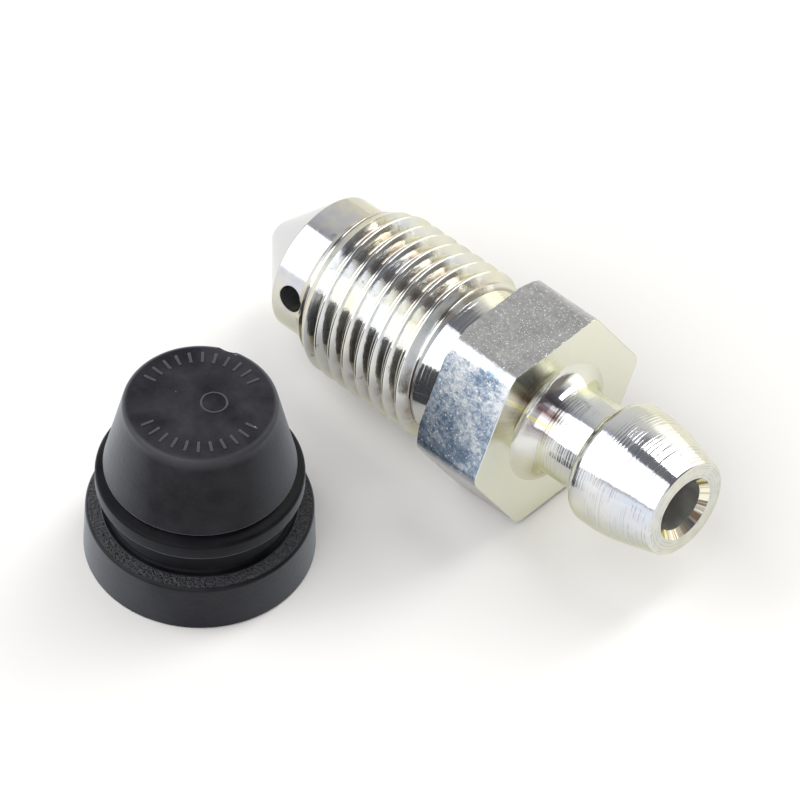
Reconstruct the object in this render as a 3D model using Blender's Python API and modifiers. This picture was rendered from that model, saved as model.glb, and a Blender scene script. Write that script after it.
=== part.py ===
"""A bleeder screw with its rubber dust cap, as the two lie on a flat surface.

The screw is one turned piece of hexagon bar: sealing cone, pilot with a cross-drilled passage, fine thread,
relief groove, hexagon, neck and hose nipple, with a bore down its axis. The cap is one moulded shell that stands
on its flange beside it. Each is modelled upright on its own axis and then put in its place.
"""

import math

import bmesh
import bpy
from mathutils import Matrix, Vector

MM = 0.001
ROUND_STEPS = 48  # facets round a turned surface
ARC_STEPS = 4  # facets on a rounded corner of an outline
HOLE_STEPS = 20  # facets round the cross hole
MERGE = 0.001 * MM
CUT_CLEAR = 1.0 * MM  # how far a cutter runs past what it cuts
SHARP_ANGLE = math.radians(25)

# Hexagon, cut from hexagon bar
HEX_ACROSS_FLATS = 11.0 * MM
HEX_LENGTH = 4.5 * MM
HEX_EDGE_RADIUS = 0.9 * MM  # the bar's own rounded edges
HEX_CHAMFER_DIAMETER = 11.7 * MM  # where the turned chamfer meets the face on the thread's side
HEX_CHAMFER_ANGLE = math.radians(30)

# Hose nipple, on one side of the hexagon
NIPPLE_LENGTH = 9.4 * MM  # from the hexagon to the end face
NECK_DIAMETER = 5.2 * MM
NECK_LENGTH = 3.75 * MM
NECK_FILLET = 1.2 * MM
BARREL_DIAMETER = 7.24 * MM
BARREL_BACK_ANGLE = math.radians(80)
BARREL_BACK_FILLET = 0.85 * MM
BARREL_ROOT_FILLET = 0.15 * MM
BARREL_FRONT_FILLET = 8.0 * MM  # the barrel is slightly crowned towards its taper
TAPER_LENGTH = 3.2 * MM
NIPPLE_END_DIAMETER = 5.6 * MM
NIPPLE_END_FILLET = 0.15 * MM

# Threaded shank, on the other side
RELIEF_DIAMETER = 8.6 * MM  # next to the thread
RELIEF_ROOT_DIAMETER = 7.7 * MM  # next to the hexagon
RELIEF_FILLET = 0.8 * MM
RELIEF_LENGTH = 2.0 * MM
RELIEF_SLOPE_LENGTH = 0.5 * MM
THREAD_DIAMETER = 9.9 * MM
THREAD_LENGTH = 8.2 * MM
THREAD_PITCH = 1.0 * MM
THREAD_DEPTH = 0.61 * MM
THREAD_FLANK_ANGLE = math.radians(30)
THREAD_CREST_WIDTH = 0.125 * MM
LEAD_CHAMFER_LENGTH = 1.3 * MM
LEAD_CHAMFER_DEPTH = 0.66 * MM
PILOT_DIAMETER = 8.04 * MM
PILOT_LENGTH = 2.1 * MM
CONE_HALF_ANGLE = math.radians(45)
CONE_TIP_DIAMETER = 1.5 * MM
CONE_TIP_FILLET = 0.25 * MM

# Passage for the fluid
BORE_DIAMETER = 3.0 * MM
BORE_MOUTH_DIAMETER = 3.76 * MM
BORE_PAST_CROSS_HOLE = 0.2 * MM
DRILL_HALF_ANGLE = math.radians(59)
CROSS_HOLE_DIAMETER = 1.6 * MM
CROSS_HOLE_SETBACK = 1.3 * MM  # from the edge of the cone
CROSS_HOLE_TURN = math.radians(75.4)  # round the axis, from the hexagon's upper flat

# Dust cap: its hollow follows the nipple, and heights are measured from its foot
CAP_CLEARANCE = 0.06 * MM  # round the nipple when the cap is on
CAP_ROOF_THICKNESS = 1.64 * MM
CAP_TOP_DIAMETER = 8.3 * MM
CAP_TOP_FILLET = 0.45 * MM
CAP_LIP_DIAMETER = 10.15 * MM
CAP_LIP_HEIGHT = 6.35 * MM
CAP_LIP_FILLET = 0.12 * MM
CAP_CREVICE = 0.25 * MM  # how far the lip stands out over the ring below it
CAP_RING_DIAMETER = 11.15 * MM
CAP_RING_HEIGHT = 5.85 * MM
CAP_RING_THICKNESS = 0.95 * MM
CAP_RING_FILLET = 0.25 * MM
CAP_GROOVE_DIAMETER = 9.8 * MM
CAP_GROOVE_FILLET = 0.4 * MM
CAP_FLANGE_DIAMETER = 12.38 * MM
CAP_FLANGE_HEIGHT = 3.07 * MM
CAP_FLANGE_DRAFT = 0.1 * MM
CAP_FLANGE_FILLET = 0.25 * MM
CAP_FOOT_FILLET = 0.12 * MM
CAP_MOUTH_DIAMETER = 6.1 * MM
CAP_MOUTH_CHAMFER = 0.8 * MM
NOTCH_WIDTH = 0.7 * MM
NOTCH_DEPTH = 0.25 * MM
NOTCH_TURN = math.radians(114)

# Where the cap stands, from the middle of the hexagon's front face
CAP_ALONG = -10.95 * MM
CAP_ASIDE = -15.8 * MM

# Heights on the screw's own axis, with the hexagon's front face at 0 and the nipple above it
HEX_BACK = -HEX_LENGTH
THREAD_TOP = HEX_BACK - RELIEF_LENGTH - RELIEF_SLOPE_LENGTH
THREAD_END = THREAD_TOP - THREAD_LENGTH
FIRST_FULL_CREST = THREAD_END + LEAD_CHAMFER_LENGTH
CONE_EDGE = THREAD_END - PILOT_LENGTH
CONE_TIP = CONE_EDGE - (PILOT_DIAMETER - CONE_TIP_DIAMETER) / 2 / math.tan(CONE_HALF_ANGLE)
CROSS_HOLE_HEIGHT = CONE_EDGE + CROSS_HOLE_SETBACK
TAPER_START = NIPPLE_LENGTH - TAPER_LENGTH


def start_scene():
    """Clears the scene and makes the collections for the parts and for what cuts or joins them."""
    for obj in list(bpy.data.objects):
        bpy.data.objects.remove(obj, do_unlink=True)
    collections = [bpy.data.collections.new(name) for name in ("bleeder_screw_set", "cutters")]
    for collection in collections:
        bpy.context.scene.collection.children.link(collection)
    return collections


def new_material(name, color, roughness, metallic):
    material = bpy.data.materials.new(name)
    material.use_nodes = True
    shader = material.node_tree.nodes["Principled BSDF"]
    shader.inputs["Base Color"].default_value = (*color, 1.0)
    shader.inputs["Roughness"].default_value = roughness
    shader.inputs["Metallic"].default_value = metallic
    material.diffuse_color = (*color, 1.0)
    return material


def new_object(name, mesh, collection):
    obj = bpy.data.objects.new(name, mesh)
    collection.objects.link(obj)
    return obj


def object_from_bmesh(name, bm, collection):
    mesh = bpy.data.meshes.new(name)
    bm.to_mesh(mesh)
    bm.free()
    return new_object(name, mesh, collection)


def make_helper(obj):
    """Marks a shape that only cuts or joins another."""
    obj.hide_render = True
    obj.display_type = "WIRE"
    return obj


def rounded_outline(corners):
    """The points of an outline given as (radius, height, fillet) corners, with each fillet as an arc."""
    points = []
    for index, (radius, height, fillet) in enumerate(corners):
        corner = Vector((radius, height))
        if not fillet:
            points.append(corner)
            continue
        back = (Vector(corners[index - 1][:2]) - corner).normalized()
        onward = (Vector(corners[index + 1][:2]) - corner).normalized()
        half_angle = back.angle(onward) / 2
        reach = fillet / math.tan(half_angle)
        centre = corner + (back + onward).normalized() * fillet / math.sin(half_angle)
        start = (corner + back * reach - centre).normalized()
        end = (corner + onward * reach - centre).normalized()
        for step in range(ARC_STEPS + 1):
            points.append(centre + fillet * start.slerp(end, step / ARC_STEPS))
    return points


def turned(name, corners, collection):
    """A solid of revolution about Z. Its outline runs down the outer side and starts and ends on the axis."""
    outline = rounded_outline(corners)
    mesh = bpy.data.meshes.new(name)
    edges = [(index, index + 1) for index in range(len(outline) - 1)]
    mesh.from_pydata([(radius, 0.0, height) for radius, height in outline], edges, [])
    obj = new_object(name, mesh, collection)
    screw = obj.modifiers.new("Turn", "SCREW")
    screw.steps = screw.render_steps = ROUND_STEPS
    screw.use_merge_vertices = True
    screw.merge_threshold = MERGE
    return obj


def add_boolean(obj, other, operation):
    modifier = obj.modifiers.new(f"{operation.title()} {other.name}", "BOOLEAN")
    modifier.operation = operation
    modifier.solver = "EXACT"
    modifier.object = other


def finish(obj, material):
    """Keeps the modifiers' result as the object's own mesh, shaded smooth between its sharp edges."""
    graph = bpy.context.evaluated_depsgraph_get()
    mesh = bpy.data.meshes.new_from_object(obj.evaluated_get(graph))
    bm = bmesh.new()
    bm.from_mesh(mesh)
    bmesh.ops.remove_doubles(bm, verts=bm.verts, dist=MERGE)
    bm.to_mesh(mesh)
    bm.free()
    obj.modifiers.clear()
    obj.data = mesh
    mesh.name = obj.name
    mesh.shade_smooth()
    mesh.set_sharp_from_angle(angle=SHARP_ANGLE)
    mesh.materials.clear()
    mesh.materials.append(material)
    return obj


def screw_blank(collection):
    """The whole turned outline, from the nipple's end face down to the cone, without the hexagon."""
    neck, barrel = NECK_DIAMETER / 2, BARREL_DIAMETER / 2
    thread, relief, pilot = THREAD_DIAMETER / 2, RELIEF_DIAMETER / 2, PILOT_DIAMETER / 2
    relief_root = RELIEF_ROOT_DIAMETER / 2
    barrel_back = NECK_LENGTH + (barrel - neck) / math.tan(BARREL_BACK_ANGLE)
    sink = NECK_FILLET / 50  # both fillets run a little below the hexagon's face, so they meet it at an angle
    fillet_end = neck + NECK_FILLET + sink
    relief_fillet_end = relief_root + 1.3 * RELIEF_FILLET
    corners = [
        (0, NIPPLE_LENGTH, 0),
        (NIPPLE_END_DIAMETER / 2, NIPPLE_LENGTH, NIPPLE_END_FILLET),
        (barrel, TAPER_START, BARREL_FRONT_FILLET),
        (barrel, barrel_back, BARREL_BACK_FILLET),
        (neck, NECK_LENGTH, BARREL_ROOT_FILLET),
        (neck, -sink, NECK_FILLET),
        (fillet_end, -sink, 0),
        (fillet_end, HEX_BACK / 2, 0),
        (relief_fillet_end, HEX_BACK / 2, 0),
        (relief_fillet_end, HEX_BACK + sink, 0),
        (relief_root, HEX_BACK + sink, RELIEF_FILLET),
        (relief, HEX_BACK - RELIEF_LENGTH, 0),
        (thread, THREAD_TOP, 0),
        (thread, FIRST_FULL_CREST, 0),
        (thread - LEAD_CHAMFER_DEPTH, THREAD_END, 0),
        (pilot, THREAD_END, 0),
        (pilot, CONE_EDGE, 0),
        (CONE_TIP_DIAMETER / 2, CONE_TIP, CONE_TIP_FILLET),
        (0, CONE_TIP, 0),
    ]
    return turned("bleeder_screw", corners, collection)


def hexagon(cutters):
    """The stretch of hexagon bar, flats facing X, with a turned chamfer on the thread's side."""
    corner_radius = HEX_ACROSS_FLATS / 2 / math.cos(math.pi / 6)
    place = Matrix.Translation((0, 0, HEX_BACK / 2))
    bm = bmesh.new()
    bmesh.ops.create_cone(
        bm, cap_ends=True, segments=6, radius1=corner_radius, radius2=corner_radius, depth=HEX_LENGTH, matrix=place
    )
    upright = [edge for edge in bm.edges if abs(edge.verts[0].co.z - edge.verts[1].co.z) > HEX_LENGTH / 2]
    setback = HEX_EDGE_RADIUS * math.tan(math.pi / 6)
    bmesh.ops.bevel(bm, geom=upright, offset=setback, segments=3, profile=0.5, affect="EDGES")
    bar = make_helper(object_from_bmesh("hexagon_bar", bm, cutters))
    add_boolean(bar, chamfer_gauge(cutters, corner_radius), "INTERSECT")
    return bar


def chamfer_gauge(cutters, corner_radius):
    """What the chamfering tool leaves of the bar: a wide cylinder that narrows to the face on the thread's side."""
    face_radius, wide = HEX_CHAMFER_DIAMETER / 2, corner_radius + CUT_CLEAR
    slope = math.tan(HEX_CHAMFER_ANGLE)
    corners = [
        (0, CUT_CLEAR, 0),
        (wide, CUT_CLEAR, 0),
        (wide, HEX_BACK + (wide - face_radius) * slope, 0),
        (face_radius - CUT_CLEAR, HEX_BACK - CUT_CLEAR * slope, 0),
        (0, HEX_BACK - CUT_CLEAR * slope, 0),
    ]
    return make_helper(turned("hexagon_chamfer", corners, cutters))


def thread_groove(cutters):
    """The right-hand helical groove of the thread, as one bar whose turns don't touch each other.

    It starts below the thread, where the pilot is too thin to be cut, and ends in the relief. A crest lies
    straight down at the first full turn of thread, where the screw rests on the floor.
    """
    crest_radius, slope = THREAD_DIAMETER / 2, math.tan(THREAD_FLANK_ANGLE)
    half_root = (THREAD_PITCH - THREAD_CREST_WIDTH) / 2 - THREAD_DEPTH * slope
    half_mouth = THREAD_PITCH * 0.45
    mouth_radius = crest_radius - THREAD_DEPTH + (half_mouth - half_root) / slope
    start = FIRST_FULL_CREST - 1.5 * THREAD_PITCH
    turns = (HEX_BACK - RELIEF_LENGTH + THREAD_PITCH / 2 - start) / THREAD_PITCH
    section = [
        (crest_radius - THREAD_DEPTH, -half_root),
        (mouth_radius, -half_mouth),
        (crest_radius + CUT_CLEAR, -half_mouth),
        (crest_radius + CUT_CLEAR, half_mouth),
        (mouth_radius, half_mouth),
        (crest_radius - THREAD_DEPTH, half_root),
    ]
    bm = bmesh.new()
    face = bm.faces.new([bm.verts.new((radius, 0, start + height)) for radius, height in section])
    steps = round(turns * ROUND_STEPS)
    bmesh.ops.spin(
        bm,
        geom=[*face.verts, *face.edges, face],
        axis=(0, 0, 1),
        dvec=(0, 0, THREAD_PITCH / ROUND_STEPS),
        angle=math.tau * steps / ROUND_STEPS,
        steps=steps,
    )
    bmesh.ops.recalc_face_normals(bm, faces=bm.faces)
    return make_helper(object_from_bmesh("thread_groove", bm, cutters))


def bore(cutters):
    """The axial bore, from its countersunk mouth down to the drill's point."""
    radius, mouth = BORE_DIAMETER / 2, BORE_MOUTH_DIAMETER / 2
    bottom = CROSS_HOLE_HEIGHT - CROSS_HOLE_DIAMETER / 2 - BORE_PAST_CROSS_HOLE
    corners = [
        (0, NIPPLE_LENGTH + CUT_CLEAR, 0),
        (mouth + CUT_CLEAR, NIPPLE_LENGTH + CUT_CLEAR, 0),
        (radius, NIPPLE_LENGTH - (mouth - radius), 0),
        (radius, bottom, 0),
        (0, bottom - radius / math.tan(DRILL_HALF_ANGLE), 0),
    ]
    return make_helper(turned("bore", corners, cutters))


def cross_hole(cutters):
    """The hole drilled through one side of the pilot into the bore."""
    radius, length = CROSS_HOLE_DIAMETER / 2, PILOT_DIAMETER / 2 + CUT_CLEAR
    place = (
        Matrix.Translation((0, 0, CROSS_HOLE_HEIGHT))
        @ Matrix.Rotation(math.pi + CROSS_HOLE_TURN, 4, "Z")
        @ Matrix.Rotation(math.pi / 2, 4, "Y")
        @ Matrix.Translation((0, 0, length / 2))
    )
    bm = bmesh.new()
    bmesh.ops.create_cone(
        bm, cap_ends=True, segments=HOLE_STEPS, radius1=radius, radius2=radius, depth=length, matrix=place
    )
    return make_helper(object_from_bmesh("cross_hole", bm, cutters))


def bleeder_screw(parts, cutters):
    """The screw, lying on a flat of its hexagon and on the first full turn of its thread."""
    screw = screw_blank(parts)
    add_boolean(screw, hexagon(cutters), "UNION")
    for cutter in (thread_groove(cutters), bore(cutters), cross_hole(cutters)):
        add_boolean(screw, cutter, "DIFFERENCE")
    finish(screw, new_material("zinc_plated_steel", (0.72, 0.73, 0.71), 0.22, 1.0))
    apothem = HEX_ACROSS_FLATS / 2
    tilt = math.atan((apothem - THREAD_DIAMETER / 2) / (HEX_BACK - FIRST_FULL_CREST))
    screw.rotation_euler = (0, math.pi / 2 - tilt, 0)
    screw.location.z = apothem * math.cos(tilt) - HEX_BACK * math.sin(tilt)
    return screw


def cap_corners():
    """The cap's outline: down its outer side from the top, and back up the hollow to the roof."""
    hollow_end = NIPPLE_LENGTH + CAP_CLEARANCE
    top, lip, ring = CAP_TOP_DIAMETER / 2, CAP_LIP_DIAMETER / 2, CAP_RING_DIAMETER / 2
    groove, flange, mouth = CAP_GROOVE_DIAMETER / 2, CAP_FLANGE_DIAMETER / 2, CAP_MOUTH_DIAMETER / 2
    ring_foot = CAP_RING_HEIGHT - CAP_RING_THICKNESS
    chamber, crown = BARREL_DIAMETER / 2 + CAP_CLEARANCE, NIPPLE_END_DIAMETER / 2 + CAP_CLEARANCE
    back_slope = math.tan(BARREL_BACK_ANGLE)
    mouth_end = NECK_LENGTH - CAP_CLEARANCE + (mouth - NECK_DIAMETER / 2) / back_slope
    return [
        (0, hollow_end + CAP_ROOF_THICKNESS, 0),
        (top, hollow_end + CAP_ROOF_THICKNESS, CAP_TOP_FILLET),
        (lip, CAP_LIP_HEIGHT, CAP_LIP_FILLET),
        (lip - CAP_CREVICE, CAP_LIP_HEIGHT - CAP_CREVICE, 0),
        (ring, CAP_RING_HEIGHT, CAP_RING_FILLET),
        (ring, ring_foot, CAP_RING_FILLET),
        (groove, ring_foot - (ring - groove) / 2, CAP_GROOVE_FILLET),
        (groove, CAP_FLANGE_HEIGHT, CAP_GROOVE_FILLET),
        (flange - CAP_FLANGE_DRAFT, CAP_FLANGE_HEIGHT, CAP_FLANGE_FILLET),
        (flange, 0, CAP_FOOT_FILLET),
        (mouth + CAP_MOUTH_CHAMFER, 0, 0),
        (mouth, CAP_MOUTH_CHAMFER, 0),
        (mouth, mouth_end, 0),
        (chamber, mouth_end + (chamber - mouth) / back_slope, 0),
        (chamber, TAPER_START, 0),
        (crown, hollow_end, 0),
        (0, hollow_end, 0),
    ]


def rim_notch(cutters):
    """The small nick in the rim of the cap's top."""
    rim = CAP_TOP_DIAMETER / 2
    height = NIPPLE_LENGTH + CAP_CLEARANCE + CAP_ROOF_THICKNESS
    radius = (NOTCH_WIDTH**2 / 4 + NOTCH_DEPTH**2) / (2 * NOTCH_DEPTH)
    place = (
        Matrix.Rotation(NOTCH_TURN, 4, "Z")
        @ Matrix.Translation((rim, 0, height - NOTCH_DEPTH + radius))
        @ Matrix.Rotation(math.pi / 2, 4, "Y")
    )
    bm = bmesh.new()
    bmesh.ops.create_cone(
        bm,
        cap_ends=True,
        segments=HOLE_STEPS,
        radius1=radius,
        radius2=radius,
        depth=2 * CAP_TOP_FILLET,
        matrix=place,
    )
    return make_helper(object_from_bmesh("rim_notch", bm, cutters))


def dust_cap(parts, cutters):
    """The rubber cap, taken off and standing on its flange."""
    cap = turned("dust_cap", cap_corners(), parts)
    add_boolean(cap, rim_notch(cutters), "DIFFERENCE")
    finish(cap, new_material("black_rubber", (0.035, 0.035, 0.04), 0.55, 0.0))
    cap.location = (CAP_ALONG, CAP_ASIDE, 0)
    return cap


def centre_on_origin(objects, collection):
    """Carries the parts on one empty, placed so that the middle of their footprint is at the origin."""
    bpy.context.view_layer.update()
    places = [obj.matrix_world @ vertex.co for obj in objects for vertex in obj.data.vertices]
    carrier = new_object("footprint_middle", None, collection)
    for axis in range(2):
        reach = [place[axis] for place in places]
        carrier.location[axis] = -(min(reach) + max(reach)) / 2
    for obj in objects:
        obj.parent = carrier


def main():
    parts, cutters = start_scene()
    screw = bleeder_screw(parts, cutters)
    cap = dust_cap(parts, cutters)
    centre_on_origin([screw, cap], parts)


main()
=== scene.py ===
"""The looks of a bleeder screw and its dust cap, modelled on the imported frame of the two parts.

Each piece is modelled upright on its own axis, with bpy.ops, and then carried to its place in the frame.
"""

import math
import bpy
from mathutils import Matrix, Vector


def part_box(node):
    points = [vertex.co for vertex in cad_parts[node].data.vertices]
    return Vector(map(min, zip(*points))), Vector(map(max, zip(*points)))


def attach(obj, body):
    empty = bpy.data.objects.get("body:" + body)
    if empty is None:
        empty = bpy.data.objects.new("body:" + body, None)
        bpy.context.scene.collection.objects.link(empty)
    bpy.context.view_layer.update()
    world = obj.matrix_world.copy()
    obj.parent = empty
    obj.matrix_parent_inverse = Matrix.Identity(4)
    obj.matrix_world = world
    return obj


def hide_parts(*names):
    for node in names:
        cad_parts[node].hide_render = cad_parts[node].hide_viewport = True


bl_info = {
    "name": "Bleeder screw with dust cap",
    "version": (1, 0, 0),
    "blender": (4, 5, 0),
    "location": "3D View > Sidebar > Bleeder screw",
    "description": "Models a zinc-plated bleeder screw and its rubber dust cap on their packed frame",
    "category": "Object",
}

import bpy
from bpy.props import FloatProperty, FloatVectorProperty, IntProperty, PointerProperty
from mathutils import Matrix, Vector

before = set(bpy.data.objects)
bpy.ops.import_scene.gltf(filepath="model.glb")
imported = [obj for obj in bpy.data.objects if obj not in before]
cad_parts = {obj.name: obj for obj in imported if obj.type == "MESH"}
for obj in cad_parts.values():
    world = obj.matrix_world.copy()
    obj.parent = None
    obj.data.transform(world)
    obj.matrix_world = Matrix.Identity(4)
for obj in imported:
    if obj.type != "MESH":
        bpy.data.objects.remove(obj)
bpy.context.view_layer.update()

SCREW_LOW, SCREW_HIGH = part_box("bleeder_screw")
CAP_LOW, CAP_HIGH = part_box("dust_cap")
CAP_CENTRE = (CAP_LOW + CAP_HIGH) / 2

MM = 0.001
MERGE = 0.0005 * MM
CUT_CLEAR = 1.0 * MM  # how far a cutter runs past what it cuts
SINK = 0.02 * MM  # how far one shape runs into another that it is joined to
SHARP_ANGLE = math.radians(28)
HALF_TURN = math.pi
FULL_TURN = math.tau
QUARTER_TURN = math.pi / 2
TWELFTH_TURN = math.pi / 6
HALF_TURN_DEGREES = 180

ARC_STEPS = 8  # faces across a fillet
FINE_STEPS = 3  # faces across a small one, as on the thread's crests
HOLE_STEPS = 64  # faces round the cross hole and the gate mark
NOTCH_STEPS = 48
GATE_WIRE_STEPS = 12
TICK_EDGE_STEPS = 2
FILLET_ROOM = 1.3  # the run that the relief's fillet is given, as a share of its radius
ROOT_ARC_LIMIT = 1.7  # the largest rounding of the thread's root, as a share of half its flat
LEAD_IN_TURNS = 3  # turns of thread swept before the first full crest, and then cut back
SPARE_TURNS = 2  # turns swept past the relief, and then cut back
ACROSS, LEANING, STRAIGHT = 0.1, 0.3, 0.9  # how far a face's normal points along a direction

# Places in the two pieces' lists of materials
TURNED, FLAT, FACED, DRILLED, ROLLED, COUNTERSUNK = range(6)
SIDE, TOP, FLANGE, RING = range(4)

# Where one finish of the screw fades into the next, in millimetres up its own axis from the nipple's side
NECK_ROOT_START = (0.0, 0.3)
NECK_ROOT_END = (1.9, 1.2)
BARREL_EDGE = (5.0, 5.6)
RELIEF_EDGE = (-4.6, -4.4)
PILOT_EDGE = (-14.9, -15.1)
CONE_EDGE = (-17.2, -17.4)
SHOWN_CORNER = (-0.80, -0.60, 0.0)  # from the axis to the hexagon's corner between its two shown flats

# Colours of the zinc, of what lies on it, and of the reflections, highlights and shade painted on it
BROWN_STAIN = (0.25, 0.22, 0.18, 1)
RED_STAIN = (0.25, 0.18, 0.13, 1)
# Painted dark reflection and painted yellow highlight at the neck's root
ROOT_DARK_REFLECTION = (0.16, 0.09, 0.09, 1)
ROOT_HIGHLIGHT = (0.72, 0.62, 0.20, 1)
# Painted shade in the thread's roots and low on its flanks
THREAD_SHADE = (0.25, 0.20, 0.17, 1)
# Painted dark reflection on the hexagon's faced side
FACE_DARK_REFLECTION = (0.27, 0.24, 0.16, 1)
BARREL_STREAK = (0.40, 0.38, 0.43, 1)
CONE_GREY = (0.57, 0.59, 0.61, 1)
PALE_ZINC = (0.93, 0.96, 0.95, 1)
BRIGHT_CRYSTAL = (0.97, 0.97, 0.98, 1)

# Colours of the rubber where it is paler: raised parts, partly worn and partly a painted highlight; a painted
# highlight on the top's rim; a painted sheen at a slant; and dust
# Raised ticks and gate mark: partly worn rubber, partly a painted highlight
RAISED_WEAR_AND_HIGHLIGHT = (0.055, 0.055, 0.06, 1)
# Painted highlight on the rounded rim of the top
RIM_HIGHLIGHT = (0.07, 0.07, 0.08, 1)
# Painted sheen where the rubber is seen at a slant
PAINTED_SLANT_SHEEN = (0.15, 0.16, 0.18, 1)
DUST = (0.42, 0.42, 0.4, 1)

# The cap's rubbers: dark, pale, grain per metre and its height in metres, roughness, shine, strength of the
# painted sheen at a slant
RUBBERS = {
    "moulded_side": ((0.003, 0.003, 0.005), (0.015, 0.015, 0.020), 3500.0, 2.0e-5, 0.38, 0.16, 0.68),
    "moulded_top": ((0.005, 0.005, 0.008), (0.026, 0.026, 0.033), 3000.0, 2.4e-5, 0.45, 0.16, 0.68),
    "grained_flange": ((0.002, 0.002, 0.003), (0.008, 0.008, 0.010), 4600.0, 3.2e-4, 0.22, 0.6, 0.2),
    # The ring under the lip: darker and duller rubber, painted shade
    "ring_painted_shade": ((0.002, 0.002, 0.003), (0.008, 0.008, 0.010), 3500.0, 1.2e-5, 0.42, 0.08, 0.3),
}

VALUE, COLOUR = "NodeSocketFloat", "NodeSocketColor"

PICTURE = 800.0  # pixels across the picture
SENSOR = 36.0  # millimetres across the camera's sensor
CLIP = 10 * MM, 10.0
FLOOR_SIZE = 3.0
WHITE = (1.0, 1.0, 1.0, 1.0)

# Lights: place along the screw, degrees round it from the back, metres along it and across it, tint
LIGHT_DISTANCE = 0.9
LIGHTS = (
    ("right_light", 0.06, 57, 0.31, 0.74, (1.0, 0.99, 0.97)),
    ("left_light", 0.14, 141, 0.98, 0.62, (1.0, 1.0, 1.0)),
    ("upper_light", -0.04, 110.5, 0.53, 0.35, (1.0, 1.0, 1.0)),
    ("end_light", -0.70, 129.5, 0.45, 1.06, (1.0, 1.0, 1.0)),
)

# The light tent's walls, by the degrees round the screw's axis from the back, over the top, to the front
TENT_WALLS = (
    (0, (0.88, 0.87, 0.84)),
    (35, (0.74, 0.73, 0.72)),
    (58, (0.66, 0.66, 0.66)),
    (74, (0.58, 0.58, 0.58)),
    (86, (0.42, 0.42, 0.44)),
    (96, (0.24, 0.27, 0.42)),
    (100, (0.80, 0.80, 0.82)),
    (159, (1.0, 1.0, 1.0)),
    (163, (0.52, 0.48, 0.50)),
    (167, (1.1, 1.1, 1.1)),
    (178, (1.1, 1.1, 1.1)),
)
BRIGHT_BACK = (1.75, 1.72, 1.55, 1)
DIM_OVERHEAD = (0.12, 0.12, 0.14, 1)
DARK_CORNER = (0.24, 0.21, 0.18, 1)


def length(name, description, millimetres):
    """A length property, stored in metres."""
    return FloatProperty(
        name=name, description=description, default=millimetres * MM, unit="LENGTH", subtype="DISTANCE",
        precision=5
    )


def turn(name, description, degrees):
    """An angle property, stored in radians."""
    return FloatProperty(
        name=name, description=description, default=math.radians(degrees), unit="ROTATION", subtype="ANGLE"
    )


def colour(name, description, default):
    return FloatVectorProperty(
        name=name, description=description, default=default, subtype="COLOR", min=0, max=1
    )


def share(name, description, default):
    return FloatProperty(name=name, description=description, default=default, subtype="FACTOR", min=0, max=1)


def number(name, description, default):
    return FloatProperty(name=name, description=description, default=default)


def count(name, description, default, least):
    return IntProperty(name=name, description=description, default=default, min=least)


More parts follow.
